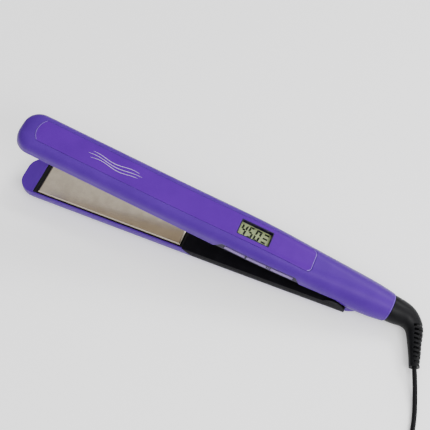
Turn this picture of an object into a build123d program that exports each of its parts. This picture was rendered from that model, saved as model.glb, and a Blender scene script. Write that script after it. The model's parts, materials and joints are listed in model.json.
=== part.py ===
from build123d import *
import math
import os

# Flat iron with two hinged arms, lying on its lower arm with the arms open.
# Millimetres. X runs from the tips to the cord, Y across the plates, Z up from the table.
# Along an arm, "s" is the distance behind the hinge pin, so the tips have negative s.
# "b" is the height away from the plane where the closed plates meet.

# ---- driving dimensions ------------------------------------------------------
HINGE_X = 101.45           # puts the middle of the iron's length at X = 0
HINGE_Z = 16.0             # pin above the table
MEET_Z = 14.6              # plane where the closed plates meet
OPEN_ANGLE = 12.0          # degrees between the arms when open
TIP_S = -238.0             # tip of the main arm
LOWER_TIP_S = -237.0
BARREL_END_S = 31.6        # rear end of the round barrel
FOOT_CUT = 0.15            # planed off the lower arm's crown for a flat foot
EDGE_B = 1.0               # purple rims stand this far from the meeting plane
WALL = 1.8                 # moulded walls
TOP_WALL = 2.8             # main shell's wall under the decorative panel

PLATE_L = 108.0
PLATE_W = 25.4
PLATE_REAR_S = -113.5
PLATE_FACE_B = 0.15        # each plate stops this far from the meeting plane
PLATE_BACK_B = 4.6
PLATE_SKIN = 1.85          # thickness behind the polished face
PLATE_PLAY = 0.4           # gap round each plate
PLATE_TRAVEL = 0.8         # how far a plate sinks when hair is clamped
DECK_B = PLATE_BACK_B + PLATE_TRAVEL + 0.3   # near face of the frame that carries a plate
DECK_T = 1.5
BAR_B = 1.5                # the rim of that frame stops short of the meeting plane
BAR_HALF = 11.7
LINER_HALF = 13.5          # the frame's thin sides stand between the plate and the shell
LINER_T = 0.35
RIDGE_T = 0.4              # fine ridge across the front bar
HEATER_T = 1.5
SEAM_S = -225.0            # tip cap meets the plate's frame
COVER_S = -111.5           # front end of the black handle covers

PANEL_HALF = 8.4
PANEL_FRONT_S = -227.2
PANEL_REAR_S = -27.2
PANEL_T = 1.3

WINDOW_S = -70.0           # middle of the display
WINDOW_L = 22.0
WINDOW_W = 10.6
BEZEL_W = 0.6
PANE_B = 11.8              # underside of the clear pane

MAIN_SCREWS = {-101.0: 11.0, -18.0: 13.0}     # s of each screw: b of its post's root
LOWER_SCREWS = {-95.0: 13.5, -22.0: 13.5}
HEAD_R = 2.3
HEAD_B = 2.6               # shoulder under a screw's head

BUTTON_B = 4.2             # height of the buttons' middle
BUTTON_H = 2.2
TRIM_RISE = 3.2            # top of the trim above the buttons' middle
BUTTON_GAP = 0.3
FLANGE = 0.55              # a button's hidden rim beyond its face
BUTTON_SPANS = {"button_power": (-84.0, -69.4), "button_plus": (-68.0, -54.0), "button_minus": (-50.6, -35.0)}

PIN_R = 2.0
BUSH_R = 3.0
PIN_HALF = 9.9
KNUCKLE_HALF = 7.9
YOKE_IN = 8.2              # the yoke's cheeks stand outside the knuckle
YOKE_HALF = 10.0
YOKE_R = 5.4
SPRING_HALF = 3.4          # half the width of the spring's room
RUNNING_GAP = 0.05
TAIL_R = HINGE_Z           # the lower arm's tail is round about the pin and touches the table
TAIL_HALF = 10.0
TAIL_JOIN_S = -2.0         # where the tail's round meets the handle's round end
BOSS_S = -3.5              # middle of the handle's rounded rear end
BOSS_R = 8.6
EAR_IN = 13.1              # ears of that round end stand beside the barrel
EAR_OUT = 13.75
BARREL_ROOM_S = 1.8        # the handle's end is cut away here for the open barrel
BARREL_ROOM_Z = 11.6
BARREL_SEAM = 0.15         # gap between the main shell and the rear cover
BARREL_CLEAR_R = TAIL_R + 0.45

LOCK_S = 22.2              # middle of the storage lock under the barrel
LOCK_TRAVEL = 2.5
LOCK_NECK = 3.0            # length of the slider's neck in its slot

SOCKET_R = 5.5
GUARD_START_S = BARREL_END_S + 0.9
GUARD_STRAIGHT = 9.0
GUARD_BEND_R = 13.0
GUARD_BEND = 74.0          # degrees
GUARD_TAIL = 23.3
GUARD_LENGTH = GUARD_STRAIGHT + GUARD_BEND_R * math.radians(GUARD_BEND) + GUARD_TAIL
GUARD_RIBS = 9
GUARD_CORE_R = 2.4         # round the cord, inside the flex slots
RIB_START = 21.5           # first slot's distance along the guard
RIB_PITCH = 3.1
SLOT_REACH = 2.5           # flex slots run this far past the middle line
SLOT_W = 1.6
# the guard's taper: distance along it, radius
GUARD_RADII = [(0.0, 9.3), (3.0, 9.25), (7.0, 8.9), (11.0, 8.3), (15.0, 7.5), (19.0, 6.7), (24.0, 5.9),
               (30.0, 5.1), (37.0, 4.4), (43.0, 3.95), (GUARD_LENGTH, 3.7)]
CORD_D = 3.3
COIL_MID_D = 38.0          # across the middle of the coil's turns
COIL_BAND = 13.6           # width and height of the bundle of turns
TIE_T = 0.8                # thickness of the band round the coil
TIE_W = 6.0
TIE_PLACE = 135.0          # degrees round the coil
COIL_X = HINGE_X + 46.0
COIL_Y = -129.0
PLUG_X = HINGE_X + 4.0     # where the cord enters the plug's strain relief
PLUG_Y = -153.6
PLUG_Z = 7.05
RELIEF_L = 21.0            # plug's strain relief

# ---- sections along the arms: s, half width, outer height b, corner radius, rim b ----
MAIN_BODY = [
    (-222.0, 14.5, 12.1, 6.7, EDGE_B),
    (-214.0, 14.5, 12.12, 6.7, EDGE_B),
    (-190.0, 14.5, 12.2, 6.7, EDGE_B),
    (-150.0, 14.5, 12.35, 6.7, EDGE_B),
    (-113.0, 14.5, 12.8, 6.8, EDGE_B),
    (-80.0, 14.4, 14.1, 7.2, EDGE_B),
    (-40.0, 13.6, 14.8, 8.6, EDGE_B + 0.2),
    (-14.0, 12.8, 15.15, 10.4, 2.4),
    (2.0, 12.5, 15.4, 11.7, 3.3),
    (18.0, 11.7, 15.0, 11.6, 3.3),
    (BARREL_END_S, 10.0, 13.55, 9.9, 3.6),
]
# lower half of the barrel: s, radius, b of its middle
BARREL = [(-3.0, 12.7, 3.05), (2.0, 12.5, 3.3), (18.0, 11.7, 3.3), (BARREL_END_S, 10.0, 3.6)]
LOWER_BODY = [
    (-222.0, 14.5, MEET_Z + FOOT_CUT, 10.8, EDGE_B),
    (-216.0, 14.5, MEET_Z + FOOT_CUT, 10.8, EDGE_B),
    (-200.0, 14.5, MEET_Z + FOOT_CUT, 10.8, EDGE_B),
    (-160.0, 14.5, MEET_Z + FOOT_CUT, 10.8, EDGE_B),
    (-113.0, 14.5, MEET_Z + FOOT_CUT, 10.8, EDGE_B),
    (-60.0, 14.3, MEET_Z + FOOT_CUT, 10.7, EDGE_B),
    (-15.0, 13.9, MEET_Z + FOOT_CUT, 10.5, EDGE_B),
    (14.0, 13.7, MEET_Z + FOOT_CUT, 10.4, EDGE_B),
]
NOSE_STEPS = [0.0, 0.03, 0.1, 0.22, 0.4, 0.62, 0.82, 1.0]
NOSE_TIP_HALF = 4.0
NOSE_WIDENING = 0.7        # share of the nose in which it reaches its full width
NOSE_TIP_B = 5.4

LOCK_SLOPE = math.degrees(math.atan2(2.1, BARREL_END_S - 18.0))

HINGE_AXIS = Axis((HINGE_X, 0, HINGE_Z), (0, 1, 0))


# ---- small helpers -----------------------------------------------------------
def across(s):
    """Plane square to the arm at s, with its x along Y and its y along Z."""
    return Plane(origin=(HINGE_X + s, 0, 0), x_dir=(0, 1, 0), z_dir=(1, 0, 0))


def side_plane(y=0.0):
    """Upright plane along the arm, seen from the front side: x is s and y is Z."""
    return Plane(origin=(HINGE_X, y, 0), x_dir=(1, 0, 0), z_dir=(0, -1, 0))


def block(s0, s1, y0, y1, z0, z1):
    box = Box(s1 - s0, y1 - y0, z1 - z0)
    return Pos(HINGE_X + (s0 + s1) / 2, (y0 + y1) / 2, (z0 + z1) / 2) * box


def b_block(side, s0, s1, y0, y1, b0, b1):
    """Block given in b heights: side +1 is the main arm, -1 the lower arm."""
    heights = sorted((MEET_Z + side * b0, MEET_Z + side * b1))
    return block(s0, s1, y0, y1, heights[0], heights[1])


def cross_rod(s, z, radius, y0, y1):
    """Round rod across the arms, from y0 to y1."""
    return side_plane(y1) * Pos(s, z, 0) * extrude(Circle(radius), y1 - y0)


def upright_rod(s, y, radius, z0, z1):
    return Pos(HINGE_X + s, y, z0) * extrude(Circle(radius), z1 - z0)


def prism(points, y0, y1):
    """Extrudes an outline given as (s, z) points across the arms."""
    outline = make_face(Polyline(*points, close=True))
    return side_plane(y1) * extrude(outline, y1 - y0)


def arch(s, half, rim, crown, corner):
    """One section: a straight rim line, two upright sides and a crown with round corners."""
    turn = corner * (1 - math.sqrt(0.5))
    shoulder = crown - corner
    left = Line((-half, rim), (-half, shoulder))
    left_arc = ThreePointArc((-half, shoulder), (-half + turn, crown - turn), (-half + corner, crown))
    flat = Line((-half + corner, crown), (half - corner, crown))
    right_arc = ThreePointArc((half - corner, crown), (half - turn, crown - turn), (half, shoulder))
    right = Line((half, shoulder), (half, rim))
    close = Line((half, rim), (-half, rim))
    return across(s) * make_face([left, left_arc, flat, right_arc, right, close])


def nose_stations(first, tip):
    """Stations of the rounded nose, blending from the blunt tip to the first body station."""
    s1, half1, b1, corner1, rim = first
    made = []
    for step in NOSE_STEPS:
        rise = math.sqrt(1 - (1 - step) ** 2)
        widen = math.sqrt(1 - (1 - min(step / NOSE_WIDENING, 1.0)) ** 2)
        half = NOSE_TIP_HALF + (half1 - NOSE_TIP_HALF) * widen
        height = NOSE_TIP_B + (b1 - NOSE_TIP_B) * rise
        corner = corner1 * (height - rim) / (b1 - rim)
        made.append((tip + step * (s1 - tip), half, height, corner, rim))
    return made


def arm_solid(side, inset=0.0, top_inset=None, rim=None, start=None):
    """The arm's outer form, or the same form moved inwards, as one smooth solid.

    side is +1 for the main arm and -1 for the lower arm. rim overrides the rim's b.
    start leaves out the stations in front of that s.
    """
    body = MAIN_BODY if side > 0 else LOWER_BODY
    tip = TIP_S if side > 0 else LOWER_TIP_S
    crown_inset = inset if top_inset is None else top_inset
    lofts = []
    for stations in (nose_stations(body[0], tip), body):
        sections = []
        for s, half, height, corner, own_rim in stations:
            if start is not None and s < start:
                continue
            b_rim = own_rim if rim is None else rim
            radius = max(corner - inset, 0.8)
            crown = max(height - crown_inset, b_rim + radius + 0.05)
            sections.append(arch(s, half - inset, MEET_Z + b_rim, MEET_Z + crown, radius))
        if len(sections) > 1:
            lofts.append(loft(sections))
    solid = lofts[0] if len(lofts) == 1 else lofts[0] + lofts[1]
    if side < 0:
        solid = mirror(solid, about=Plane(origin=(0, 0, MEET_Z)))
    return solid


def raised(shape):
    """Moves a main arm piece from its closed place to the open rest place."""
    return shape.rotate(HINGE_AXIS, OPEN_ANGLE)


PIECES = {}


def keep(name, *solids):
    """Notes the solids of one named piece."""
    PIECES[name] = list(solids)


# ---- plates and what carries them, the same in both arms ----------------------
def plate_front():
    return PLATE_REAR_S - PLATE_L


def heating_plate(side):
    half = PLATE_W / 2
    front = plate_front()
    body = b_block(side, front, PLATE_REAR_S, -half, half, PLATE_FACE_B, PLATE_BACK_B)
    face_z = MEET_Z + side * PLATE_FACE_B
    edges = body.edges().filter_by(Plane(origin=(0, 0, face_z)), tolerance=0.01)
    body = fillet(edges, 1.3)
    skin_b = PLATE_FACE_B + PLATE_SKIN
    pocket = b_block(side, front + 2, PLATE_REAR_S - 2, -half + 2, half - 2, skin_b, PLATE_BACK_B + 1)
    return body - pocket


def heater(side):
    back = PLATE_FACE_B + PLATE_SKIN
    middle = PLATE_REAR_S - PLATE_L / 2
    return b_block(side, middle - 35, middle + 35, -8, 8, back, back + HEATER_T)


def float_pads(side):
    middle = PLATE_REAR_S - PLATE_L / 2
    back = PLATE_FACE_B + PLATE_SKIN + HEATER_T
    return [b_block(side, middle + d - 5, middle + d + 5, -5, 5, back, DECK_B) for d in (-25, 25)]


def plate_carrier(side, floor_b):
    """Heat-proof frame round a plate: a deck, two end bars, thin sides and posts down to the shell."""
    front = plate_front()
    start = SEAM_S + 0.1
    end = COVER_S - 0.1
    bar_top = DECK_B + 0.3
    deck = b_block(side, start, end, -BAR_HALF, BAR_HALF, DECK_B, DECK_B + DECK_T)
    front_bar = b_block(side, start, front - PLATE_PLAY, -BAR_HALF, BAR_HALF, BAR_B, bar_top)
    rear_bar = b_block(side, PLATE_REAR_S + PLATE_PLAY, end, -BAR_HALF, BAR_HALF, BAR_B, bar_top)
    sides = b_block(side, start, end, -LINER_HALF, LINER_HALF, BAR_B, DECK_B - 0.2)
    gap_half = LINER_HALF - LINER_T
    room_end = PLATE_REAR_S + PLATE_PLAY
    sides = sides - b_block(side, front - PLATE_PLAY, room_end, -gap_half, gap_half, 0, DECK_B)
    ridge_s = start + 1.2
    ridge = b_block(side, ridge_s, ridge_s + RIDGE_T, -LINER_HALF, LINER_HALF, BAR_B - 0.5, BAR_B + 0.2)
    carrier = deck + front_bar + rear_bar + sides + ridge
    for s in (front + 18, front + 54, front + 90):
        carrier = carrier + b_block(side, s - 3, s + 3, -4, 4, DECK_B + DECK_T - 0.2, floor_b)
    return carrier


def plate_opening(side):
    """Room for the plate and its frame, cut out of the shell's rims."""
    half = LINER_HALF + 0.1
    plate_room = b_block(side, SEAM_S, COVER_S, -half, half, -2.0, DECK_B - 0.1)
    bar_room = BAR_HALF + 0.1
    frame_room = b_block(side, SEAM_S, COVER_S, -bar_room, bar_room, -2.0, DECK_B + DECK_T + 0.1)
    return plate_room + frame_room


# ---- main arm ----------------------------------------------------------------
def panel_outline(grow):
    """Plan of the decorative panel: straight sides, a bowed front and a rounded rear."""
    half = PANEL_HALF + grow
    front = PANEL_FRONT_S - grow
    rear = PANEL_REAR_S + grow
    shoulder = PANEL_FRONT_S + 3.4
    corner = 3.0
    turn = corner * (1 - math.sqrt(0.5))
    bow = ThreePointArc((shoulder, -half), (front, 0), (shoulder, half))
    far = Line((shoulder, half), (rear - corner, half))
    far_corner = ThreePointArc((rear - corner, half), (rear - turn, half - turn), (rear, half - corner))
    end = Line((rear, half - corner), (rear, -half + corner))
    near_corner = ThreePointArc((rear, -half + corner), (rear - turn, -half + turn), (rear - corner, -half))
    near = Line((rear - corner, -half), (shoulder, -half))
    return make_face([bow, far, far_corner, end, near_corner, near])


def panel_prism(grow):
    return Pos(HINGE_X, 0, MEET_Z + 6) * extrude(panel_outline(grow), 20)


def window_prism(grow):
    half_l = WINDOW_L / 2 + grow
    half_w = WINDOW_W / 2 + grow
    outline = RectangleRounded(2 * half_l, 2 * half_w, 0.8)
    return Pos(HINGE_X + WINDOW_S, 0, MEET_Z + 6) * extrude(outline, 20)


def button_cutout():
    top = BUTTON_B + TRIM_RISE
    points = [(-91.0, MEET_Z - 1), (-91.0, MEET_Z + EDGE_B), (-86.5, MEET_Z + top), (-33.5, MEET_Z + top),
              (-29.0, MEET_Z + EDGE_B), (-29.0, MEET_Z - 1)]
    return prism(points, -20, -9)


def top_layer(region, depth, start=None):
    """What lies within depth of the main arm's outer surface, in a cut-out region of its form."""
    return region - arm_solid(1, depth, depth, rim=-2.0, start=start)


def screw_post(side, s, top_b):
    return upright_rod(s, 0, 3.0, *sorted((MEET_Z + side * HEAD_B, MEET_Z + side * top_b)))


def screw(side, s):
    """Pan head screw that enters a cover from the plate side and bites into a post."""
    head = upright_rod(s, 0, HEAD_R, *sorted((MEET_Z + side * 1.2, MEET_Z + side * HEAD_B)))
    shank = upright_rod(s, 0, 1.2, *sorted((MEET_Z + side * HEAD_B, MEET_Z + side * 8.5)))
    slot = b_block(side, s - 1.6, s + 1.6, -0.3, 0.3, 1.0, 1.8)
    return head + shank - slot


def main_arm():
    outer = arm_solid(1)
    inner = arm_solid(1, WALL, TOP_WALL, rim=-1.0, start=-222.0)
    nose_room = b_block(1, -233.0, -220.0, -10.0, 10.0, 2.9, 7.6)
    recess = top_layer(outer & panel_prism(0.3), PANEL_T + 0.1)
    shell = outer - inner - nose_room - plate_opening(1) - recess
    shell = shell - window_prism(BEZEL_W) - button_cutout()
    for s, top_b in MAIN_SCREWS.items():
        shell = shell + screw_post(1, s, top_b)
        shell = shell - screw(1, s)
    keep("main_shell", shell)

    panel = top_layer(outer & panel_prism(0.0), PANEL_T)
    keep("top_panel", panel - window_prism(BEZEL_W))

    bezel = top_layer(outer & window_prism(BEZEL_W), 3.4, start=-190.0) - window_prism(0.0)
    keep("display_bezel", bezel)
    half_l = WINDOW_L / 2
    half_w = WINDOW_W / 2
    pane = extrude(RectangleRounded(WINDOW_L - 0.1, WINDOW_W - 0.1, 0.8), 0.8)
    keep("display_window", Pos(HINGE_X + WINDOW_S, 0, MEET_Z + PANE_B) * pane)
    glass_l = half_l - 0.3
    glass_w = half_w - 0.3
    glass = b_block(1, WINDOW_S - glass_l, WINDOW_S + glass_l, -glass_w, glass_w, 9.7, PANE_B - 0.1)
    module = b_block(1, WINDOW_S - 14, WINDOW_S + 14, -7.5, 7.5, 8.3, 9.7)
    keep("lcd_module", glass + module)

    handle = arm_solid(1, WALL, WALL, rim=0.8, start=-190.0)
    cover = handle & b_block(1, COVER_S, -7.0, -20, 20, 0.8, 2.6)
    cover = cover - button_cutout()
    for s in MAIN_SCREWS:
        cover = cover - upright_rod(s, 0, HEAD_R, MEET_Z, MEET_Z + HEAD_B + 0.1)
    keep("main_inner_cover", cover)
    keep("main_cover_screws", *[screw(1, s) for s in MAIN_SCREWS])

    slab = arm_solid(1, 0.5, 0.5, start=-190.0) - arm_solid(1, 2.4, 2.4, rim=-1.0, start=-190.0)
    trim = slab & button_cutout()
    sunk = arm_solid(1, 0.05, 0.05, start=-190.0) - arm_solid(1, 2.9, 2.9, rim=-1.0, start=-190.0)
    behind = arm_solid(1, 2.5, 2.5, start=-190.0) - arm_solid(1, 3.3, 3.3, rim=-1.0, start=-190.0)
    low = BUTTON_B - BUTTON_H / 2
    high = BUTTON_B + BUTTON_H / 2
    for name, (s0, s1) in BUTTON_SPANS.items():
        hole = b_block(1, s0 - BUTTON_GAP, s1 + BUTTON_GAP, -20, -9, low - BUTTON_GAP, high + BUTTON_GAP)
        trim = trim - hole
        cap = sunk & b_block(1, s0, s1, -20, -9, low, high)
        flange = behind & b_block(1, s0 - FLANGE, s1 + FLANGE, -20, -9, low - FLANGE, high + FLANGE)
        keep(name, cap + flange)
    keep("button_trim", trim)
    middles = [(s0 + s1) / 2 for s0, s1 in BUTTON_SPANS.values()]
    keep("tactile_switches", *[b_block(1, s - 3, s + 3, -9.1, -5.5, 3.2, 5.2) for s in middles])


def electronics():
    keep("control_board", b_block(1, -93.0, -27.0, -9.1, 9.1, 5.2, 6.8))
    parts = [
        b_block(1, -90.0, -80.0, 1.0, 8.0, 6.8, 8.2),
        b_block(1, -54.0, -46.0, -6.0, 2.0, 6.8, 11.0),
        b_block(1, -42.0, -38.0, -5.0, 5.0, 6.8, 9.6),
        upright_rod(-49.0, 5.6, 2.6, MEET_Z + 6.8, MEET_Z + 10.6),
        upright_rod(-32.5, 0.0, 3.2, MEET_Z + 6.8, MEET_Z + 9.6),
    ]
    keep("board_components", *parts)
    upper = [side_wire(y, COVER_S, -93.2, MEET_Z + 4.2) for y in (-4.0, 4.0)]
    keep("upper_heater_leads", *upper)
    lower = [side_wire(y, COVER_S, -6.0, MEET_Z - 7.6) for y in (-4.5, 4.5)]
    keep("lower_heater_leads", *lower)


def side_wire(y, s0, s1, z):
    return across(s0) * Pos(y, z, 0) * extrude(Circle(0.95), s1 - s0)


# ---- barrel, hinge and lock ----------------------------------------------------
def half_barrel(inset, rim_up=0.0):
    """Lower half of the round barrel: each section is an arch turned upside down."""
    sections = []
    for s, radius, mid in BARREL:
        r = radius - inset
        section = arch(s, r, -rim_up, r, r - 0.1).mirror(Plane.XY)
        sections.append(Pos(0, 0, MEET_Z + mid - BARREL_SEAM) * section)
    return loft(sections)


def rear_cover():
    """Lower half of the barrel, hollow, with its front cut clear of the lower arm's tail."""
    cover = half_barrel(0.0) - half_barrel(WALL, 1.0)
    swing = cross_rod(0, HINGE_Z, BARREL_CLEAR_R, -TAIL_HALF - 0.35, TAIL_HALF + 0.35)
    edge = [(-6.0, 30.0), (-3.0, MEET_Z + 3.05), (-0.9, MEET_Z + 2.6), (6.6, MEET_Z - 2.0),
            (11.5, MEET_Z - 4.6), (16.5, MEET_Z - 6.6), (16.5, MEET_Z - 30.0), (-6.0, MEET_Z - 30.0)]
    cover = cover - swing - prism(edge, -20, 20)
    return cover - lock_slot()


def lock_frame():
    """Frame on the barrel's lowest line: x runs rearwards along the barrel, z up into it."""
    fall = (BARREL_END_S - LOCK_S) * math.tan(math.radians(LOCK_SLOPE))
    low_b = 3.6 - 10.0 - fall
    return Pos(HINGE_X + LOCK_S, 0, MEET_Z + low_b) * Rot(0, -LOCK_SLOPE, 0)


def lock_slot():
    return lock_frame() * Pos(-0.35, 0, 1) * Box(LOCK_NECK + LOCK_TRAVEL + 0.6, 4.6, 8)


def lock_slider():
    """Storage lock under the barrel: a ridged cap outside, a neck and a plate inside."""
    frame = lock_frame() * Pos(0.9, 0, 0)
    cap = Box(6.0, 6.0, 1.0)
    cap = frame * Pos(0, 0, -1.05) * fillet(cap.edges().filter_by(Axis.Z), 1.2)
    neck = frame * Pos(0, 0, 1.1) * Box(LOCK_NECK, 4.0, 4.0)
    plate = frame * Pos(0, 0, 3.2) * Box(4.6, 6.6, 0.9)
    slider = cap + neck + plate
    for x in (-1.8, 0.0, 1.8):
        slider = slider - frame * Pos(x, 0, -1.55) * Box(0.6, 5.0, 0.5)
    return slider


def hinge_yoke():
    """Two cheeks under the main shell that hold the bushes."""
    room = arm_solid(1, WALL, TOP_WALL, rim=-5.5, start=-45.0)
    ring = cross_rod(0, HINGE_Z, YOKE_R, -YOKE_HALF, YOKE_HALF)
    stem = block(-YOKE_R, YOKE_R, -YOKE_HALF, YOKE_HALF, HINGE_Z, HINGE_Z + 12)
    cheeks = (ring + stem) & room
    cheeks = cheeks - block(-20, 20, -YOKE_IN, YOKE_IN, 0, HINGE_Z + 5.6)
    return cheeks - cross_rod(0, HINGE_Z, BUSH_R, -12, 12)


def hinge_bush(side):
    y0, y1 = sorted((YOKE_IN * side, YOKE_HALF * side))
    return cross_rod(0, HINGE_Z, BUSH_R, y0, y1) - cross_rod(0, HINGE_Z, PIN_R + RUNNING_GAP, -12, 12)


def hinge_knuckle():
    """Pivot block of the lower arm: two ears on the pin with room for the spring between them."""
    ring = cross_rod(0, HINGE_Z, 5.0, -KNUCKLE_HALF, KNUCKLE_HALF)
    stem = block(-5.0, 4.6, -KNUCKLE_HALF, KNUCKLE_HALF, WALL, HINGE_Z)
    spring_room = cross_rod(0, HINGE_Z, 6.0, -SPRING_HALF, SPRING_HALF)
    spring_room = spring_room + block(-7, 7, -SPRING_HALF, SPRING_HALF, HINGE_Z - 4.6, 40)
    return ring + stem - spring_room - cross_rod(0, HINGE_Z, PIN_R, -12, 12)


def torsion_spring():
    """Close-wound spring on the pin, with one leg down in the lower arm and one up in the main arm."""
    mean_r = 3.2
    wire_r = 0.45
    pitch = 1.1
    turns = 5
    helix = Helix(pitch=pitch, height=pitch * turns, radius=mean_r)
    start = helix @ 0
    ring = Plane(origin=start, z_dir=helix % 0) * Circle(wire_r)
    coil = sweep(ring, path=helix)
    placed = Pos(HINGE_X, pitch * turns / 2, HINGE_Z) * Rot(90, 0, 0) * coil
    lower_leg = across(-9.5) * Pos(2.75, HINGE_Z - mean_r, 0) * extrude(Circle(wire_r), 9.8)
    upper_leg = across(-9.5) * Pos(-2.75, HINGE_Z + mean_r, 0) * extrude(Circle(wire_r), 9.8)
    return placed + lower_leg + raised(upper_leg)


# ---- lower arm -------------------------------------------------------------------
def boss_profile(radius):
    """Side outline of the handle's rounded rear end, as a prism over the whole width."""
    front = block(-260, BOSS_S, -20, 20, -5, 25)
    return front + cross_rod(BOSS_S, BOSS_R, radius, -20, 20)


def ears():
    """Upper part of the round rear end, which stands up on both sides of the barrel."""
    drum = cross_rod(BOSS_S, BOSS_R, BOSS_R, -EAR_OUT, EAR_OUT)
    return drum & (block(-20, 20, -20, -EAR_IN, 12, 20) + block(-20, 20, EAR_IN, 20, 12, 20))


def purple_region():
    """Side view of the purple tray: deep beside the plate, shallow under the handle."""
    points = [(-260.0, -5.0), (-260.0, 30.0), (COVER_S, 30.0), (COVER_S, MEET_Z - EDGE_B),
              (-100.0, 4.0), (20.0, 4.0), (20.0, -5.0)]
    return prism(points, -20, 20)


def tail_skin():
    """Round tail of the tray, turned about the hinge pin."""
    drum = cross_rod(0, HINGE_Z, TAIL_R, -TAIL_HALF, TAIL_HALF)
    drum = fillet(drum.edges().filter_by(GeomType.CIRCLE), 3.0)
    drum = drum - cross_rod(0, HINGE_Z, TAIL_R - 1.6, -TAIL_HALF + 1.7, TAIL_HALF - 1.7)
    drum = drum - cross_rod(0, HINGE_Z, 6.6, -20, 20)
    return drum & block(-2.5, 30, -20, 20, -5, 12.0)


def lower_arm():
    outer = arm_solid(-1) & block(-260, 40, -20, 20, 0, 30)
    inner = arm_solid(-1, WALL, WALL, rim=-1.0, start=-222.0)
    nose_room = b_block(-1, -233.0, -220.0, -10.0, 10.0, 2.9, 7.6)
    tray = outer - inner - nose_room - plate_opening(-1)
    tray = tray & purple_region() & boss_profile(BOSS_R)
    centre_cut = block(TAIL_JOIN_S, 30, -TAIL_HALF, TAIL_HALF, -5, 30)
    tail = tail_skin() & block(TAIL_JOIN_S, 30, -20, 20, -5, 30)
    tray = (tray - centre_cut) + tail
    for s, top_b in LOWER_SCREWS.items():
        tray = tray + screw_post(-1, s, top_b)
        tray = tray - screw(-1, s)
    keep("lower_shell", tray)

    hollow = arm_solid(-1, 1.9, 1.9, rim=2.6, start=-190.0) & boss_profile(BOSS_R - WALL)
    skin = arm_solid(-1, 0.0, 0.0, rim=0.8, start=-190.0) & boss_profile(BOSS_R)
    cover = skin - hollow + ears() - purple_region()
    cover = cover - block(-260, COVER_S, -20, 20, -5, 30)
    cover = cover - block(-5.2, 20, -YOKE_IN - 0.1, YOKE_IN + 0.1, -5, 30)
    cover = cover - block(-10.4, 0, -SPRING_HALF - 0.2, SPRING_HALF + 0.2, -5, 30)
    cover = cover - cross_rod(0, HINGE_Z, YOKE_R + 0.4, -YOKE_HALF - 0.4, YOKE_HALF + 0.4)
    cover = cover - block(TAIL_JOIN_S, 30, -TAIL_HALF - 0.1, TAIL_HALF + 0.1, -5, 12.2)
    cover = cover - block(BARREL_ROOM_S, 20, -EAR_IN + 0.1, EAR_IN - 0.1, BARREL_ROOM_Z, 30)
    for s in LOWER_SCREWS:
        cover = cover - upright_rod(s, 0, HEAD_R, MEET_Z - HEAD_B - 0.1, MEET_Z)
    keep("lower_inner_cover", cover)
    keep("lower_cover_screws", *[screw(-1, s) for s in LOWER_SCREWS])


# ---- cord guard, cord, coil and plug ----------------------------------------------
def guard_point(distance):
    """Place and direction of the guard's middle line, in the closed frame's horizontal plane."""
    bend = math.radians(GUARD_BEND)
    arc = GUARD_BEND_R * bend
    if distance <= GUARD_STRAIGHT:
        return distance, 0.0, 0.0
    if distance <= GUARD_STRAIGHT + arc:
        angle = (distance - GUARD_STRAIGHT) / GUARD_BEND_R
        along = GUARD_STRAIGHT + GUARD_BEND_R * math.sin(angle)
        return along, -GUARD_BEND_R * (1 - math.cos(angle)), angle
    rest = distance - GUARD_STRAIGHT - arc
    along = GUARD_STRAIGHT + GUARD_BEND_R * math.sin(bend) + rest * math.cos(bend)
    aside = -GUARD_BEND_R * (1 - math.cos(bend)) - rest * math.sin(bend)
    return along, aside, bend


def guard_plane(distance):
    along, aside, angle = guard_point(distance)
    origin = (HINGE_X + GUARD_START_S + along, aside, MEET_Z + 3.6)
    return Plane(origin=origin, x_dir=(0, 0, 1), z_dir=(math.cos(angle), -math.sin(angle), 0))


def cord_guard():
    """Elbow with a swivel neck in the barrel and slanted flex slots along its outer side."""
    body = loft([guard_plane(d) * Circle(r) for d, r in GUARD_RADII])
    core = loft([guard_plane(d) * Circle(GUARD_CORE_R) for d in (18, 21, 24, 27, 33, 40, GUARD_LENGTH)])
    for index in range(GUARD_RIBS):
        place = guard_plane(RIB_START + index * RIB_PITCH)
        slot = place * Rot(-12, 0, 0) * Pos(0, SLOT_REACH - 7.5, 0) * Box(18, 15, SLOT_W)
        body = body - (slot - core)
    neck = across(BARREL_END_S - 6.5) * Pos(0, MEET_Z + 3.6, 0) * extrude(Circle(SOCKET_R - 0.08), 7.5)
    collar = across(BARREL_END_S - 7.4) * Pos(0, MEET_Z + 3.6, 0) * extrude(Circle(6.3), 2.0)
    return body + neck + collar


def swivel_socket():
    """Ring in the barrel's mouth that the guard turns in, with a thin lip outside."""
    ring = across(BARREL_END_S - 5.3) * Pos(0, MEET_Z + 3.6, 0) * extrude(Circle(7.0), 5.4)
    lip = across(BARREL_END_S) * Pos(0, MEET_Z + 3.6, 0) * extrude(Circle(9.6), 0.55)
    bore = across(BARREL_END_S - 8) * Pos(0, MEET_Z + 3.6, 0) * extrude(Circle(SOCKET_R), 12)
    return ring + lip - bore


def opened(point):
    """A point of the closed main arm, moved to the open rest place."""
    x, y, z = point
    turn = math.radians(OPEN_ANGLE)
    dx = x - HINGE_X
    dz = z - HINGE_Z
    return (
        HINGE_X + dx * math.cos(turn) + dz * math.sin(turn),
        y,
        HINGE_Z - dx * math.sin(turn) + dz * math.cos(turn),
    )


def lead_start():
    plane = guard_plane(GUARD_LENGTH)
    return opened(tuple(plane.origin))


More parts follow.
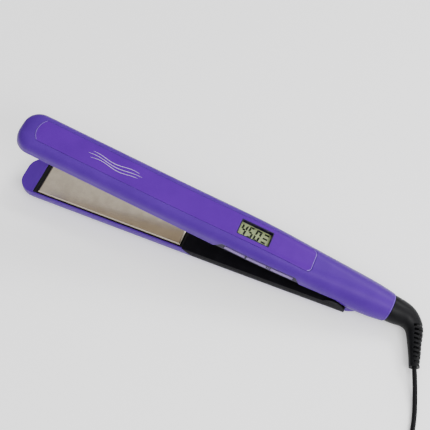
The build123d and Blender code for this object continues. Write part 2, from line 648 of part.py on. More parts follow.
TABLE_Z = CORD_D / 2 + 0.1
LEAD_ROUTE = [
    lead_start(),
    (HINGE_X + 62.6, -40.6, 4.75),
    (HINGE_X + 66.0, -51.0, 2.5),
    (HINGE_X + 69.1, -63.0, TABLE_Z),
    (HINGE_X + 70.7, -76.5, TABLE_Z),
    (HINGE_X + 71.2, -91.0, TABLE_Z),
    (HINGE_X + 70.7, -106.0, TABLE_Z),
    (HINGE_X + 69.9, -120.0, TABLE_Z),
    (HINGE_X + 69.0, -131.0, TABLE_Z),
]
TAIL_ROUTE = [
    (HINGE_X + 49.0, COIL_Y - 23.8, TABLE_Z),
    (HINGE_X + 38.0, COIL_Y - 25.2, TABLE_Z + 0.5),
    (HINGE_X + 27.0, -154.6, 3.9),
    (HINGE_X + 15.5, PLUG_Y - 0.2, PLUG_Z),
    (PLUG_X, PLUG_Y, PLUG_Z),
]


def cord_tube(route, name):
    """Round cord along straight runs joined by arcs, each as large as its runs allow."""
    points = [Vector(*p) for p in route]
    radii = []
    for before, here, after in zip(points, points[1:], points[2:]):
        turn = math.radians((here - before).get_angle(after - here))
        shorter = min((here - before).length, (after - here).length)
        radii.append(0.45 * shorter / math.tan(turn / 2))
    path = FilletPolyline(*points, radius=radii)
    section = Plane(origin=path @ 0, z_dir=path % 0) * Circle(CORD_D / 2)
    tube = sweep(section, path=path)
    expected = math.pi * (CORD_D / 2) ** 2 * path.length
    print(name, "radii", [round(r, 1) for r in radii], "length", round(path.length, 1))
    print(name, "volume", round(tube.volume, 1), "section times length", round(expected, 1))
    return tube


def cord_coil():
    """Outer shape of the wound, tied length of cord."""
    centre = COIL_MID_D / 2
    section = Pos(centre, COIL_BAND / 2) * RectangleRounded(COIL_BAND, COIL_BAND, 3.4)
    ring = revolve(Plane.XZ * section, Axis.Z)
    return Pos(COIL_X, COIL_Y, 0.05) * ring


def cord_tie():
    """Band pulled tight round the coil's bundle, clear of both ends of the cord."""
    height = COIL_BAND + TIE_T
    inside = height - 2 * TIE_T
    outline = RectangleRounded(height, height, 4.0) - RectangleRounded(inside, inside, 3.2)
    ring = Pos(0, 0, -TIE_W / 2) * extrude(outline, TIE_W)
    standing = Plane.XZ * ring
    place = Pos(COIL_X, COIL_Y, height / 2 + 0.05) * Rot(0, 0, TIE_PLACE) * Pos(COIL_MID_D / 2, 0, 0)
    return place * standing


def mains_plug():
    """Two-blade plug with a grooved, tapered strain relief."""
    body = Box(26.0, 23.0, 14.0)
    body = fillet(body.edges(), 3.2)
    tip = Plane(origin=(12.0 + RELIEF_L, 0, 0), z_dir=(1, 0, 0)) * Circle(2.4)
    root = Plane(origin=(12.0, 0, 0), z_dir=(1, 0, 0)) * Circle(4.8)
    cone = loft([root, tip])
    for x in (17.0, 20.5, 24.0, 27.5):
        groove = Circle(6.0) - Circle(2.2)
        cone = cone - Plane(origin=(x, 0, 0), z_dir=(1, 0, 0)) * extrude(groove, 1.1)
    return Pos(PLUG_X - 12.0 - RELIEF_L, PLUG_Y, PLUG_Z) * (body + cone)


def plug_blades():
    made = []
    for y in (-6.35, 6.35):
        blade = Box(17.0, 1.5, 6.4)
        blade = chamfer(blade.faces().sort_by(Axis.X)[0].edges(), 0.5)
        hole = Rot(90, 0, 0) * Cylinder(1.6, 4)
        blade = blade - Pos(-4.6, 0, 0) * hole
        made.append(Pos(PLUG_X - 12.0 - RELIEF_L - 13.0 - 8.5, PLUG_Y + y, PLUG_Z) * blade)
    return made


# ---- assembly ------------------------------------------------------------------------
def build():
    main_arm()
    electronics()
    keep("rear_cover", rear_cover())
    keep("lock_slider", lock_slider())
    keep("hinge_yoke", hinge_yoke())
    keep("hinge_bushes", hinge_bush(-1), hinge_bush(1))
    keep("swivel_socket", swivel_socket())
    keep("upper_plate", heating_plate(1))
    keep("upper_heater", heater(1))
    keep("upper_float_pads", *float_pads(1))
    keep("upper_plate_carrier", plate_carrier(1, 9.2))
    fuse_s = PLATE_REAR_S - 12
    fuse_z = MEET_Z + PLATE_FACE_B + PLATE_SKIN + 1.1
    keep("thermal_fuse", across(fuse_s - 5) * Pos(0, fuse_z, 0) * extrude(Circle(1.1), 10))
    keep("cord_guard", cord_guard())
    closed = list(PIECES)
    closed.remove("lower_heater_leads")
    for name in closed:
        PIECES[name] = [raised(solid) for solid in PIECES[name]]

    lower_arm()
    keep("hinge_knuckle", hinge_knuckle() - PIECES["lower_shell"][0])
    keep("hinge_pin", cross_rod(0, HINGE_Z, PIN_R, -PIN_HALF, PIN_HALF))
    keep("torsion_spring", torsion_spring())
    keep("lower_plate", heating_plate(-1))
    keep("lower_heater", heater(-1))
    keep("lower_float_pads", *float_pads(-1))
    keep("lower_plate_carrier", plate_carrier(-1, 12.7))
    sensor_b = PLATE_FACE_B + PLATE_SKIN
    keep("temperature_sensor", b_block(-1, fuse_s - 3, fuse_s + 3, -2, 2, sensor_b, sensor_b + 1.4))

    keep("cord_lead", cord_tube(LEAD_ROUTE, "cord_lead"))
    keep("cord_coil", cord_coil())
    keep("cord_tail", cord_tube(TAIL_ROUTE, "cord_tail"))
    keep("cord_tie", cord_tie())
    keep("mains_plug", mains_plug())
    keep("plug_blades", *plug_blades())


def write():
    os.makedirs("parts", exist_ok=True)
    for name, solids in PIECES.items():
        whole = [solid for shape in solids for solid in shape.solids()]
        print(name, len(whole), round(sum(s.volume for s in whole), 1))
        export_step(Compound(whole), os.path.join("parts", name + ".step"))


build()
write()
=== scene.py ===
import json
import math

import bmesh
import bpy
from mathutils import Matrix, Vector
from mathutils.bvhtree import BVHTree


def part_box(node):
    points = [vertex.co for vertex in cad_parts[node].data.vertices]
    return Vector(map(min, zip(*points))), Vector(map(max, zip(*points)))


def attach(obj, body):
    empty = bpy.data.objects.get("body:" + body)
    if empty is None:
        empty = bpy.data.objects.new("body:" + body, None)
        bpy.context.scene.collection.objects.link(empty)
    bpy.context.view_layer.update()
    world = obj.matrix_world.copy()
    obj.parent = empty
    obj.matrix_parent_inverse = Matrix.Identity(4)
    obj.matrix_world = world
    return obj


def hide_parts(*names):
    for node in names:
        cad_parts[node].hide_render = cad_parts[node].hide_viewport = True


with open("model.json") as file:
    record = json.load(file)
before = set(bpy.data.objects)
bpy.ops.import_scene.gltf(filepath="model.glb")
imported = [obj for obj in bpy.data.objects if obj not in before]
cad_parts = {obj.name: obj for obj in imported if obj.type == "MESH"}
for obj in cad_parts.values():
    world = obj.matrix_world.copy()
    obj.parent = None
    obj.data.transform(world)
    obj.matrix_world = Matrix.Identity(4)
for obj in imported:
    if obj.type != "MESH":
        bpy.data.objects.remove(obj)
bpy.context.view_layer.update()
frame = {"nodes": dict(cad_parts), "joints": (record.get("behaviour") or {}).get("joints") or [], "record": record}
NODES = frame["nodes"]

MM = 0.001
HINGE_JOINT = next(j for j in frame["joints"] if j["name"] == "arm_hinge")
HINGE = Vector(HINGE_JOINT["pos_m"])
OPEN = math.radians(HINGE_JOINT["range_deg"][1])
PLATE_GAP_B = 0.15                 # mm from each plate's face to the plane where they meet
MEET_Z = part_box("lower_plate")[1].z + PLATE_GAP_B * MM


# ---- camera ------------------------------------------------------------------
CAMERA_AZIMUTH = math.radians(-17.327)
CAMERA_ELEVATION = math.radians(58.954)
CAMERA_ROLL = math.radians(5.225)
CAMERA_PLACE = HINGE + Vector((-0.0040, -0.2899, 0.5355))
CAMERA_LENS = 75.6
CAMERA_NEAR = 0.01
CAMERA_FAR = 20.0


def make_camera():
    data = bpy.data.cameras.new("camera")
    data.lens = CAMERA_LENS
    data.clip_start = CAMERA_NEAR
    data.clip_end = CAMERA_FAR
    level = math.cos(CAMERA_ELEVATION)
    forward = Vector((
        math.sin(CAMERA_AZIMUTH) * level,
        math.cos(CAMERA_AZIMUTH) * level,
        -math.sin(CAMERA_ELEVATION),
    ))
    flat_right = forward.cross(Vector((0, 0, 1))).normalized()
    flat_up = flat_right.cross(forward)
    right = math.cos(CAMERA_ROLL) * flat_right + math.sin(CAMERA_ROLL) * flat_up
    up = math.cos(CAMERA_ROLL) * flat_up - math.sin(CAMERA_ROLL) * flat_right
    turn = Matrix((right, up, -forward)).transposed().to_4x4()
    camera = bpy.data.objects.new("camera", data)
    camera.matrix_world = Matrix.Translation(CAMERA_PLACE) @ turn
    bpy.context.scene.collection.objects.link(camera)
    bpy.context.scene.camera = camera


# ---- materials ---------------------------------------------------------------
def srgb(red, green, blue):
    """0 to 255 display values to the linear colour that a shader takes."""
    made = []
    for value in (red, green, blue):
        c = value / 255
        made.append(c / 12.92 if c <= 0.04045 else ((c + 0.055) / 1.055) ** 2.4)
    return (*made, 1.0)


BEVEL_SAMPLES = 4
EDGE_FULL = 0.75                   # the edge mask is 1 where the rounded normal leans this far away
EDGE_START = 0.99                  # and 0 where it still agrees with the surface
SMOOTHER = 0.05                    # how far smudges take the roughness to each side of its value
ROUGHER = 0.06


class Graph:
    """A material's node tree, with short calls for the nodes used here."""

    def __init__(self, name):
        self.material = bpy.data.materials.new(name)
        self.material.use_nodes = True
        self.tree = self.material.node_tree
        self.shader = self.tree.nodes["Principled BSDF"]
        coords = self.tree.nodes.new("ShaderNodeTexCoord")
        self.place = coords.outputs["Object"]

    def link(self, source, target):
        self.tree.links.new(source, target)

    def noise(self, size_mm, detail=3.0, roughness=0.55, stretch=None):
        node = self.tree.nodes.new("ShaderNodeTexNoise")
        node.inputs["Scale"].default_value = 1 / (size_mm * MM)
        node.inputs["Detail"].default_value = detail
        node.inputs["Roughness"].default_value = roughness
        place = self.place
        if stretch:
            mapping = self.tree.nodes.new("ShaderNodeMapping")
            mapping.inputs["Scale"].default_value = stretch
            self.link(place, mapping.inputs["Vector"])
            place = mapping.outputs["Vector"]
        self.link(place, node.inputs["Vector"])
        return node.outputs["Fac"]

    def spread(self, value, low, high, source_low=0.3, source_high=0.7):
        node = self.tree.nodes.new("ShaderNodeMapRange")
        node.inputs["From Min"].default_value = source_low
        node.inputs["From Max"].default_value = source_high
        node.inputs["To Min"].default_value = low
        node.inputs["To Max"].default_value = high
        self.link(value, node.inputs["Value"])
        return node.outputs["Result"]

    def mix(self, factor, first, second):
        node = self.tree.nodes.new("ShaderNodeMix")
        node.data_type = "RGBA"
        self.link(factor, node.inputs["Factor"])
        for socket, value in ((node.inputs[6], first), (node.inputs[7], second)):
            if isinstance(value, tuple):
                socket.default_value = value
            else:
                self.link(value, socket)
        return node.outputs[2]

    def soft_edges(self, radius_mm):
        """Normals as if every edge were rounded by that radius."""
        node = self.tree.nodes.new("ShaderNodeBevel")
        node.samples = BEVEL_SAMPLES
        node.inputs["Radius"].default_value = radius_mm * MM
        return node.outputs["Normal"]

    def bump(self, height, depth_mm, normal=None):
        node = self.tree.nodes.new("ShaderNodeBump")
        node.inputs["Strength"].default_value = 1.0
        node.inputs["Distance"].default_value = depth_mm * MM
        self.link(height, node.inputs["Height"])
        if normal is not None:
            self.link(normal, node.inputs["Normal"])
        return node.outputs["Normal"]

    def edge_mask(self, radius_mm):
        """0 on flat ground, rising to 1 on the object's sharp edges."""
        rounded = self.soft_edges(radius_mm)
        geometry = self.tree.nodes.new("ShaderNodeNewGeometry")
        dot = self.tree.nodes.new("ShaderNodeVectorMath")
        dot.operation = "DOT_PRODUCT"
        self.link(rounded, dot.inputs[0])
        self.link(geometry.outputs["Normal"], dot.inputs[1])
        return self.spread(dot.outputs["Value"], 1.0, 0.0, EDGE_FULL, EDGE_START)

    def set(self, **values):
        for name, value in values.items():
            socket = self.shader.inputs[name.replace("_", " ")]
            if isinstance(value, (int, float, tuple)):
                socket.default_value = value
            else:
                self.link(value, socket)
        return self.material


def moulded(
    name, colour, light, rough, grain_mm=0.35, grain_depth=0.006, coat=0.0, worn=None, gloss_level=0.2,
):
    """Moulded plastic: cloudy colour, fine grain, uneven gloss and edges rubbed lighter."""
    graph = Graph(name)
    cloud = graph.spread(graph.noise(9.0), 0.0, 1.0)
    base = graph.mix(cloud, colour, light)
    if worn is not None:
        base = graph.mix(graph.edge_mask(0.35), base, worn)
    smudge = graph.noise(5.0, detail=5.0, stretch=(0.5, 1.3, 1.0))
    gloss = graph.spread(smudge, rough - SMOOTHER, rough + ROUGHER)
    fine = graph.noise(grain_mm, detail=2.0)
    normal = graph.bump(fine, grain_depth, graph.soft_edges(0.25))
    return graph.set(
        Base_Color=base, Roughness=gloss, Normal=normal,
        Coat_Weight=coat, Coat_Roughness=0.12, Specular_IOR_Level=gloss_level,
    )


PEARL_CLOUD_MM = 16.0
PEARL_FLECK_MM = 0.16
PEARL_FLECK = srgb(122, 84, 214)
PEEL_MM = 1.1                      # the lacquer's faint orange peel
PEEL_DEPTH_MM = 0.008


def violet(name, dark, light, edge, rough, coat):
    """Pearl violet: colour clouds, sub-millimetre pearl flecks, a painted highlight on the sharp edges and a soft
    clear coat.
    """
    graph = Graph(name)
    cloud = graph.spread(graph.noise(PEARL_CLOUD_MM), 0.0, 1.0)
    base = graph.mix(cloud, dark, light)
    flecks = graph.spread(graph.noise(PEARL_FLECK_MM, detail=1.0), 0.0, 0.22, 0.58, 0.74)
    base = graph.mix(flecks, base, PEARL_FLECK)
    # painted highlight: the sharp edges are mixed towards the lighter edge colour, as if their rims caught the
    # light
    base = graph.mix(graph.edge_mask(0.3), base, edge)
    smudge = graph.noise(7.0, detail=5.0, stretch=(0.4, 1.2, 1.0))
    gloss = graph.spread(smudge, rough - SMOOTHER, rough + ROUGHER)
    peel = graph.noise(PEEL_MM, detail=2.0)
    normal = graph.bump(peel, PEEL_DEPTH_MM, graph.soft_edges(0.3))
    return graph.set(
        Base_Color=base, Roughness=gloss, Normal=normal,
        Coat_Weight=coat, Coat_Roughness=0.3, Coat_IOR=1.3, Specular_IOR_Level=0.16,
        Specular_Tint=(0.6, 0.35, 1.0, 1.0),
    )


def brushed(name, colour, light, rough, stretch=(0.04, 1.0, 1.0), metallic=1.0):
    """Metal with fine lines along one direction and a little tarnish."""
    graph = Graph(name)
    lines = graph.noise(0.12, detail=4.0, stretch=stretch)
    base = graph.mix(graph.spread(graph.noise(6.0), 0.0, 1.0), colour, light)
    gloss = graph.spread(lines, rough - 0.04, rough + 0.05)
    normal = graph.bump(lines, 0.0015, graph.soft_edges(0.15))
    return graph.set(Base_Color=base, Roughness=gloss, Normal=normal, Metallic=metallic)


def clear_pane():
    graph = Graph("clear_pane")
    dust = graph.spread(graph.noise(1.5, detail=5.0), 0.0, 0.03)
    return graph.set(
        Base_Color=(1.0, 1.0, 1.0, 1.0), Roughness=dust, Transmission_Weight=1.0, IOR=1.02,
        Specular_IOR_Level=0.25,
    )


def liquid_crystal():
    """Greenish grey display glass with slightly uneven colour."""
    graph = Graph("liquid_crystal")
    base = graph.mix(graph.spread(graph.noise(4.0), 0.0, 1.0), srgb(110, 122, 78), srgb(124, 136, 88))
    fine = graph.noise(0.1, detail=2.0)
    return graph.set(Base_Color=base, Roughness=0.42, Normal=graph.bump(fine, 0.001))


def make_materials():
    made = {
        # each violet's third colour is a painted highlight for its sharp edges
        "violet_shell": violet(
            "violet_shell", srgb(64, 24, 122), srgb(70, 28, 130), srgb(104, 70, 176), 0.4, 0.05),
        "violet_panel": violet(
            "violet_panel", srgb(68, 6, 126), srgb(74, 8, 134), srgb(88, 48, 160), 0.38, 0.05),
        "violet_trim": moulded("violet_trim", srgb(26, 14, 44), srgb(32, 19, 52), 0.45),
        "lilac_bezel": moulded("lilac_bezel", srgb(24, 14, 44), srgb(30, 18, 52), 0.4),
        "lilac_buttons": moulded("lilac_buttons", srgb(114, 90, 152), srgb(124, 100, 162), 0.36, coat=0.1),
        "window": clear_pane(),
        "display": liquid_crystal(),
        "black_cover": moulded(
            "black_cover", srgb(15, 14, 17), srgb(20, 19, 23), 0.36, 0.28, 0.01,
            worn=srgb(27, 26, 31), gloss_level=0.03),
        "heatproof_plastic": moulded(
            "heatproof_plastic", srgb(12, 11, 13), srgb(17, 16, 19), 0.5, 0.4, 0.015),
        "plate_coating": brushed(
            "plate_coating", srgb(176, 165, 148), srgb(188, 177, 160), 0.22, (0.03, 1.0, 1.0)),
        "heater_ceramic": moulded("heater_ceramic", srgb(222, 220, 212), srgb(232, 230, 224), 0.7),
        "silicone": moulded("silicone", srgb(170, 80, 60), srgb(182, 92, 70), 0.6),
        "circuit_board": moulded("circuit_board", srgb(28, 92, 52), srgb(34, 104, 60), 0.35),
        "components": moulded("components", srgb(38, 38, 40), srgb(48, 48, 50), 0.5),
        "lead_sleeve": moulded("lead_sleeve", srgb(214, 208, 192), srgb(224, 218, 204), 0.6),
        "steel": brushed("steel", srgb(178, 178, 184), srgb(196, 196, 202), 0.3),
        "bronze": brushed("bronze", srgb(176, 140, 88), srgb(190, 154, 100), 0.42),
        "cord_black": moulded(
            "cord_black", srgb(14, 14, 16), srgb(19, 19, 21), 0.4, 0.25, 0.008,
            worn=srgb(34, 34, 38), gloss_level=0.09),
        "tie_black": moulded("tie_black", srgb(30, 30, 33), srgb(42, 42, 46), 0.7, 0.5, 0.05),
        "plug_black": moulded(
            "plug_black", srgb(26, 26, 28), srgb(33, 33, 35), 0.48, 0.3, 0.014, worn=srgb(56, 56, 60)),
        "blade_brass": brushed("blade_brass", srgb(206, 196, 170), srgb(218, 208, 184), 0.26),
    }
    for entry in frame["record"]["subparts"]:
        node = NODES[entry["node"]]
        finish = made[entry["material_slot"]]
        node.data.materials.clear()
        node.data.materials.append(finish)
    made["silver_ink"] = brushed("silver_ink", srgb(190, 172, 226), srgb(204, 188, 236), 0.36)
    # a light violet for thin lines: a painted highlight where rims catch the light
    made["painted_highlight_line"] = brushed("painted_highlight_line", srgb(118, 90, 186), srgb(130, 102, 196), 0.4, metallic=0.2)
    made["segment_ink"] = moulded("segment_ink", srgb(10, 14, 10), srgb(16, 20, 14), 0.5)
    return made


# ---- helpers for the pieces ----------------------------------------------------
def arm_point(s, y, b):
    """A point of the open main arm. s, y and b are millimetres: behind the hinge, across, and above
    the plane where the plates meet."""
    along = s * MM
    up = MEET_Z + b * MM - HINGE.z
    return Vector((
        HINGE.x + along * math.cos(OPEN) + up * math.sin(OPEN),
        y * MM,
        HINGE.z - along * math.sin(OPEN) + up * math.cos(OPEN),
    ))


ARM_UP = Vector((math.sin(OPEN), 0, math.cos(OPEN)))
CAST_B = 30.0                      # height from which a ray is cast down on the main arm
PRINT_LIFT = 0.02                  # a printed line lies this far above its surface


def new_object(name, mesh_or_curve):
    piece = bpy.data.objects.new(name, mesh_or_curve)
    bpy.context.scene.collection.objects.link(piece)
    return piece


def mesh_piece(name, points, faces, material, body):
    mesh = bpy.data.meshes.new(name)
    mesh.from_pydata(points, [], faces)
    mesh.materials.append(material)
    piece = new_object(name, mesh)
    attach(piece, body)
    return piece


def add_strip(points, faces, pairs):
    """Adds a flat strip through pairs of points, one pair after the other."""
    first = len(points)
    for pair in pairs:
        points.extend(pair)
    for step in range(len(pairs) - 1):
        k = first + 2 * step
        faces.append([k, k + 2, k + 3, k + 1])


def printed_on(surface, s, y):
    """The point just above a surface of the main arm, straight over (s, y)."""
    hit = surface.ray_cast(arm_point(s, y, CAST_B), -ARM_UP)[0]
    return hit + ARM_UP * PRINT_LIFT * MM


def surface_of(node):
    mesh = NODES[node].data
    return BVHTree.FromPolygons([v.co for v in mesh.vertices], [p.vertices for p in mesh.polygons])


# ---- cord ----------------------------------------------------------------------
CORD_D = 3.3 * MM
CORD_REST_Z = 1.75
LEAD_EXIT = HINGE + Vector((59.56, -31.81, -10.41)) * MM
# places from the hinge in millimetres, with z above the table
LEAD = [
    (62.6, -40.6, 4.75),
    (66.0, -51.0, 2.5),
    (69.1, -63.0, CORD_REST_Z),
    (70.7, -76.5, CORD_REST_Z),
    (71.2, -91.0, CORD_REST_Z),
    (70.9, -106.0, CORD_REST_Z),
    (70.5, -118.5, CORD_REST_Z),
]
TAIL = [(38.0, -153.9, 5.0), (27.0, -154.6, 4.7), (15.5, -153.8, 6.3), (4.0, -153.6, 7.05)]

COIL_CENTRE = (46.0, -129.0)
COIL_RADIUS = 19.0
COIL_PITCH = 3.433
COIL_FLOOR = 1.7
COIL_STEP = 15.0                   # degrees between points
COIL_TURNED = 14.25 * 360
# the bundle's cells in the order that the turns fill them: column outwards, layer upwards
CELLS = [
    (3, 0), (2, 0), (1, 0), (0, 0), (0, 1), (0, 2), (0, 3), (1, 3),
    (2, 3), (3, 3), (3, 2), (2, 2), (1, 2), (1, 1), (2, 1), (3, 1),
]
FIRST_MOVE = 270.0                 # degrees into the coil at which the cord first changes cell
MOVE_EVERY = 336.0
MOVE_LENGTH = 80.0
SPLINE_INSET = 0.9915              # a quadratic spline runs this far inside its ring of points


def cell_at(turned):
    """Column and layer after that many degrees, changing smoothly between cells."""
    moves = (turned - FIRST_MOVE) / MOVE_EVERY
    if moves < 0:
        return CELLS[0]
    index = min(int(moves), len(CELLS) - 2)
    part = min((moves - index) * MOVE_EVERY / MOVE_LENGTH, 1.0)
    blend = part * part * (3 - 2 * part)
    here = CELLS[index]
    after = CELLS[index + 1]
    return tuple(a + (b - a) * blend for a, b in zip(here, after))


def coil_points():
    made = []
    for step in range(int(COIL_TURNED / COIL_STEP) + 1):
        turned = step * COIL_STEP
        column, layer = cell_at(turned)
        radius = (COIL_RADIUS + (column - 1.5) * COIL_PITCH) / SPLINE_INSET
        angle = -math.radians(turned)
        x = COIL_CENTRE[0] + radius * math.cos(angle)
        y = COIL_CENTRE[1] + radius * math.sin(angle)
        made.append((x, y, COIL_FLOOR + layer * COIL_PITCH))
    return made


def make_cord(material):
    data = bpy.data.curves.new("cord", "CURVE")
    data.dimensions = "3D"
    data.bevel_depth = CORD_D / 2
    data.bevel_resolution = 5
    data.use_fill_caps = True
    data.resolution_u = 5
    route = [LEAD_EXIT]
    for x, y, z in LEAD + coil_points() + TAIL:
        route.append(Vector((HINGE.x + x * MM, y * MM, z * MM)))
    spline = data.splines.new("NURBS")
    spline.points.add(len(route) - 1)
    for point, place in zip(spline.points, route):
        point.co = (*place, 1.0)
    spline.order_u = 3
    spline.use_endpoint_u = True
    data.materials.append(material)
    cord = new_object("cord", data)
    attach(cord, "cord_swivel")
    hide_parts("cord_lead", "cord_coil", "cord_tail")


# ---- display -------------------------------------------------------------------
GLASS_B = 11.7                     # the glass's upper face
INK_GAP = 0.004                    # from there to the ink's underside
INK = 0.04                         # and to its upper face
SEGMENTS = {"4": "bcfg", "5": "acdfg", "0": "abcdef"}
DIGIT_W = 4.1
DIGIT_H = 8.6
DIGIT_SLANT = 0.12
STROKE = 1.4
SEGMENT_GAP = 0.07
DIGIT_STARTS = {"4": -80.3, "5": -75.4, "0": -70.4}
DIGIT_BASE = -4.3
BARS_START = -64.7
BAR_LENGTH = 3.3
BAR_HALF = 0.65
BAR_LEVELS = (-2.7, 0.3, 3.4)


def segment_outline(name):
    """A segment's corners, clockwise in the digit's own plane, mitred where it meets its neighbours."""
    half = STROKE / 2
    mid = DIGIT_H / 2
    gap = SEGMENT_GAP
    if name == "g":
        x0 = half + gap
        x1 = DIGIT_W - half - gap
        upper = [(x0, mid), (x0 + half, mid + half), (x1 - half, mid + half)]
        return upper + [(x1, mid), (x1 - half, mid - half), (x0 + half, mid - half)]
    if name in "ad":
        wide = [(gap, DIGIT_H), (DIGIT_W - gap, DIGIT_H)]
        narrow = [(DIGIT_W - STROKE - gap, DIGIT_H - STROKE), (STROKE + gap, DIGIT_H - STROKE)]
        upper = wide + narrow
        return upper if name == "a" else [(x, DIGIT_H - y) for x, y in reversed(upper)]
    # the upper left upright, and the other three as its mirror images
    outer = [(0.0, mid + gap), (0.0, DIGIT_H - gap)]
    inner = [(STROKE, DIGIT_H - STROKE - gap), (STROKE, mid + half + gap)]
    upright = outer + inner
    if name in "ec":
        upright = [(x, DIGIT_H - y) for x, y in reversed(upright)]
    if name in "bc":
        upright = [(DIGIT_W - x, y) for x, y in reversed(upright)]
    return upright


def add_ink(points, faces, outline):
    """Adds a thin printed shape, given as (s, y) corners, on the display's glass."""
    first = len(points)
    count = len(outline)
    for b in (GLASS_B + INK_GAP, GLASS_B + INK):
        points.extend(arm_point(s, y, b) for s, y in outline)
    faces.append([first + count + k for k in range(count)])
    faces.append([first + k for k in reversed(range(count))])
    for k in range(count):
        after = (k + 1) % count
        faces.append([first + k, first + after, first + count + after, first + count + k])


def make_display(material):
    points = []
    faces = []
    for digit, start in DIGIT_STARTS.items():
        for name in SEGMENTS[digit]:
            outline = segment_outline(name)
            add_ink(points, faces, [(start + x + DIGIT_SLANT * y, DIGIT_BASE + y) for x, y in outline])
    for level in BAR_LEVELS:
        start = BARS_START + DIGIT_SLANT * (level - DIGIT_BASE)
        end = start + BAR_LENGTH
        low = level - BAR_HALF
        high = level + BAR_HALF
        add_ink(points, faces, [(start, low), (end, low), (end, high), (start, high)])
    mesh_piece("display_segments", points, faces, material, "main_arm")


# ---- printed motif -----------------------------------------------------------------
MOTIF_FRONT = -190.5
MOTIF_REAR = -152.0
MOTIF_LINES = (-2.1, 0.0, 2.1)
MOTIF_WAVE = 0.9
MOTIF_HALF_WAVES = 2.5
MOTIF_LAG = 0.5                    # radians by which each strand's wave is ahead of the one before
MOTIF_SHORTER = 2.5                # the outer strands end this far inside the middle one
MOTIF_THIN = 0.04                  # half width at a strand's ends
MOTIF_SWELL = 0.14                 # and how much it gains at its middle
MOTIF_STEPS = 72


def make_motif(material):
    """Three thin wavy strands printed along the panel."""
    panel = surface_of("top_panel")
    points = []
    faces = []
    for index, middle in enumerate(MOTIF_LINES):
        inset = MOTIF_SHORTER * abs(index - 1)
        length = MOTIF_REAR - MOTIF_FRONT - 2 * inset
        pairs = []
        for step in range(MOTIF_STEPS + 1):
            part = step / MOTIF_STEPS
            s = MOTIF_FRONT + inset + part * length
            wave = MOTIF_WAVE * math.sin(part * MOTIF_HALF_WAVES * math.pi + index * MOTIF_LAG)
            half = MOTIF_THIN + MOTIF_SWELL * math.sin(math.pi * part) ** 0.5
            pairs.append([printed_on(panel, s, middle + wave + side) for side in (-half, half)])
        add_strip(points, faces, pairs)
    mesh_piece("panel_motif", points, faces, material, "main_arm")


# ---- painted highlight lines at the panel's ends ---------------------------------------
# the panel's outline, as in the CAD model
PANEL_HALF = 8.4
PANEL_FRONT = -227.2
PANEL_SHOULDER = -223.8
PANEL_REAR = -27.2
PANEL_CORNER = 3.0
EDGE_INSET = 0.22                  # from the panel's edge to the line
EDGE_WIDE = 0.26
BOW_STEPS = 24
BOW_SHARE = 0.94                   # share of the bow that the line follows
CORNER_STEPS = 8
CORNER_TURN = 80.0                 # degrees of each rear corner that the line follows
STRAIGHT_STEPS = 12


def front_bow():
    """The panel's bowed front, as (s, y, outward s, outward y)."""
    depth = PANEL_SHOULDER - PANEL_FRONT
    radius = (PANEL_HALF ** 2 + depth ** 2) / (2 * depth)
    centre = PANEL_FRONT + radius
    reach = math.asin(PANEL_HALF / radius)
    made = []
    for step in range(BOW_STEPS + 1):
        turn = reach * (2 * step / BOW_STEPS - 1) * BOW_SHARE
        out_s = -math.cos(turn)
        out_y = math.sin(turn)
        made.append((centre + radius * out_s, radius * out_y, out_s, out_y))
    return made


def rear_end():
    """The panel's rear edge with its two rounded corners, as (s, y, outward s, outward y)."""
    straight = PANEL_HALF - PANEL_CORNER
    corner = []
    for step in range(CORNER_STEPS + 1):
        turn = math.radians(CORNER_TURN * (1 - step / CORNER_STEPS))
        s = PANEL_REAR - PANEL_CORNER * (1 - math.cos(turn))
        y = -straight - PANEL_CORNER * math.sin(turn)
        corner.append((s, y, math.cos(turn), -math.sin(turn)))
    between = []
    for step in range(1, STRAIGHT_STEPS):
        between.append((PANEL_REAR, straight * (2 * step / STRAIGHT_STEPS - 1), 1.0, 0.0))
    mirrored = [(s, -y, out_s, -out_y) for s, y, out_s, out_y in corner]
    return corner + between + mirrored[::-1]


def make_panel_lines(material):
    """A thin painted highlight line inside the panel's front and rear edges, where its rim catches the light."""
    panel = surface_of("top_panel")
    points = []
    faces = []
    for edge in (front_bow(), rear_end()):
        pairs = []
        for s, y, out_s, out_y in edge:
            insets = (EDGE_INSET + EDGE_WIDE, EDGE_INSET)
            pairs.append([printed_on(panel, s - inset * out_s, y - inset * out_y) for inset in insets])
        add_strip(points, faces, pairs)
    mesh_piece("panel_end_highlights", points, faces, material, "main_arm")


# ---- button trim ---------------------------------------------------------------------
RIDGES = (-52.9, -51.7)
RIDGE_B = 4.2
RIDGE_SIZE = (0.5, 0.7, 2.6)
RIDGE_ROUND = 0.16
ROUND_STEPS = 3
CAST_Y = -30.0                     # side from which a ray is cast on the trim


def make_ridges(material):
    """Two small rounded ridges on the trim, between the plus and the minus button."""
    trim = surface_of("button_trim")
    mesh = bmesh.new()
    for s in RIDGES:
        hit = trim.ray_cast(arm_point(s, CAST_Y, RIDGE_B), Vector((0, 1, 0)))[0]
        centre = Vector((0, hit.y, 0)) + Vector((1, 0, 1)) * arm_point(s, 0, RIDGE_B)
        turn = Matrix.Rotation(OPEN, 4, "Y")
        size = Matrix.Diagonal((*(side * MM for side in RIDGE_SIZE), 1.0))
        bmesh.ops.create_cube(mesh, size=1.0, matrix=Matrix.Translation(centre) @ turn @ size)
    bmesh.ops.bevel(
        mesh, geom=mesh.edges[:], offset=RIDGE_ROUND * MM, segments=ROUND_STEPS, profile=0.5, affect="EDGES",
    )
    data = bpy.data.meshes.new("trim_ridges")
    mesh.to_mesh(data)
    mesh.free()
    data.materials.append(material)
    for polygon in data.polygons:
        polygon.use_smooth = True
    piece = new_object("trim_ridges", data)
    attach(piece, "main_arm")


# ---- painted highlight line round the barrel's end ---------------------------------------
LINE_S = 31.75
LINE_B = 3.6                       # height of the barrel's axis
LINE_R = 9.62                      # radius of the ring
LINE_T = 0.14                      # radius of the bead itself
LINE_AROUND = 96
LINE_SIDES = 10


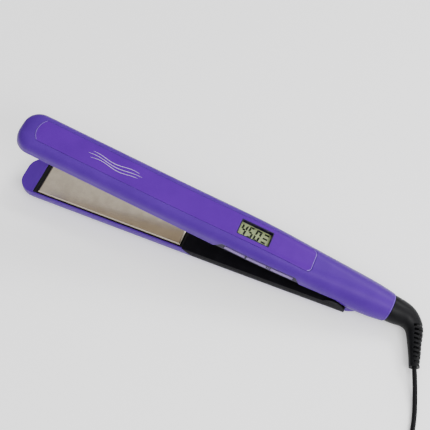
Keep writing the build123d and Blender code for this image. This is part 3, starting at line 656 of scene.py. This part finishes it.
def make_end_line(material):
    """Thin bead where the barrel meets the cord guard, coloured as a painted highlight of the rim there."""
    points = []
    faces = []
    for step in range(LINE_AROUND):
        turn = 2 * math.pi * step / LINE_AROUND
        for side in range(LINE_SIDES):
            lean = 2 * math.pi * side / LINE_SIDES
            radius = LINE_R + LINE_T * math.cos(lean)
            s = LINE_S + LINE_T * math.sin(lean)
            points.append(arm_point(s, radius * math.cos(turn), LINE_B + radius * math.sin(turn)))
    for step in range(LINE_AROUND):
        here = step * LINE_SIDES
        after = (step + 1) % LINE_AROUND * LINE_SIDES
        for side in range(LINE_SIDES):
            beside = (side + 1) % LINE_SIDES
            faces.append([here + side, here + beside, after + beside, after + side])
    bead = mesh_piece("barrel_end_highlight", points, faces, material, "main_arm")
    for polygon in bead.data.polygons:
        polygon.use_smooth = True


# ---- floor and light --------------------------------------------------------------------
FLOOR_SHADE = (0.93, 0.93, 0.94, 1.0)
FLOOR_LIGHT = (0.96, 0.96, 0.96, 1.0)
FLOOR_GLOW = 0.3
FLOOR_HALF = 4.0                   # metres
FLOOR_CLOUD_MM = 400.0


def make_floor():
    mesh = bpy.data.meshes.new("floor")
    half = FLOOR_HALF
    corners = [(-half, -half, 0), (half, -half, 0), (half, half, 0), (-half, half, 0)]
    mesh.from_pydata(corners, [], [(0, 1, 2, 3)])
    graph = Graph("floor")
    shade = graph.mix(graph.spread(graph.noise(FLOOR_CLOUD_MM), 0.0, 1.0), FLOOR_SHADE, FLOOR_LIGHT)
    mesh.materials.append(graph.set(
        Base_Color=shade, Roughness=0.8, Emission_Color=(1.0, 1.0, 1.0, 1.0), Emission_Strength=FLOOR_GLOW))
    floor = new_object("floor", mesh)


def area_light(name, place, aim, size, power):
    data = bpy.data.lights.new(name, "AREA")
    data.shape = "RECTANGLE"
    data.size, data.size_y = size
    data.energy = power
    light = new_object(name, data)
    direction = (Vector(aim) - Vector(place)).normalized()
    light.matrix_world = Matrix.Translation(place) @ direction.to_track_quat("-Z", "Y").to_matrix().to_4x4()


SKY_LOW = 0.18                     # brightness of the studio's walls
SKY_HIGH = 1.9                     # and of its ceiling
SKY_LEAN = (0.58, 0.0, 0.84)       # the brightest part is above and beyond the barrel's end
SKY_FROM = 0.1                     # about the cosine from that part at which the brightness starts to rise
SKY_TO = 0.95                      # and the one at which it is full
# each light's name, place, aim, two sizes and power, in metres and watts
LIGHTS = (
    ("key", (0.55, -0.4, 0.7), (0.1, 0.0, 0.02), (0.5, 0.3), 5.5),
    ("back", (0.6, 0.62, 0.7), (0.1, 0.0, 0.02), (0.5, 0.25), 5.5),
    ("fill", (-0.5, -0.8, 0.8), (0.0, 0.0, 0.02), (0.8, 0.8), 1.5),
)


def make_light():
    """A studio with a bright ceiling and dimmer walls, with a light before and one behind the barrel,
    and a weak one on the tips' side."""
    world = bpy.data.worlds.new("studio")
    world.use_nodes = True
    tree = world.node_tree
    background = tree.nodes["Background"]
    background.inputs["Color"].default_value = (1.0, 1.0, 1.0, 1.0)
    direction = tree.nodes.new("ShaderNodeTexCoord")
    lean = tree.nodes.new("ShaderNodeVectorMath")
    lean.operation = "DOT_PRODUCT"
    lean.inputs[1].default_value = SKY_LEAN
    height = tree.nodes.new("ShaderNodeMapRange")
    height.inputs["From Min"].default_value = SKY_FROM
    height.inputs["From Max"].default_value = SKY_TO
    height.inputs["To Min"].default_value = SKY_LOW
    height.inputs["To Max"].default_value = SKY_HIGH
    tree.links.new(direction.outputs["Generated"], lean.inputs[0])
    tree.links.new(lean.outputs["Value"], height.inputs["Value"])
    tree.links.new(height.outputs["Result"], background.inputs["Strength"])
    bpy.context.scene.world = world
    for light in LIGHTS:
        area_light(*light)


# ---- making ------------------------------------------------------------------------------
make_camera()
finishes = make_materials()
make_cord(finishes["cord_black"])
make_display(finishes["segment_ink"])
make_motif(finishes["silver_ink"])
make_panel_lines(finishes["painted_highlight_line"])
make_ridges(finishes["lilac_buttons"])
make_end_line(finishes["painted_highlight_line"])
make_floor()
make_light()

bpy.context.view_layer.update()
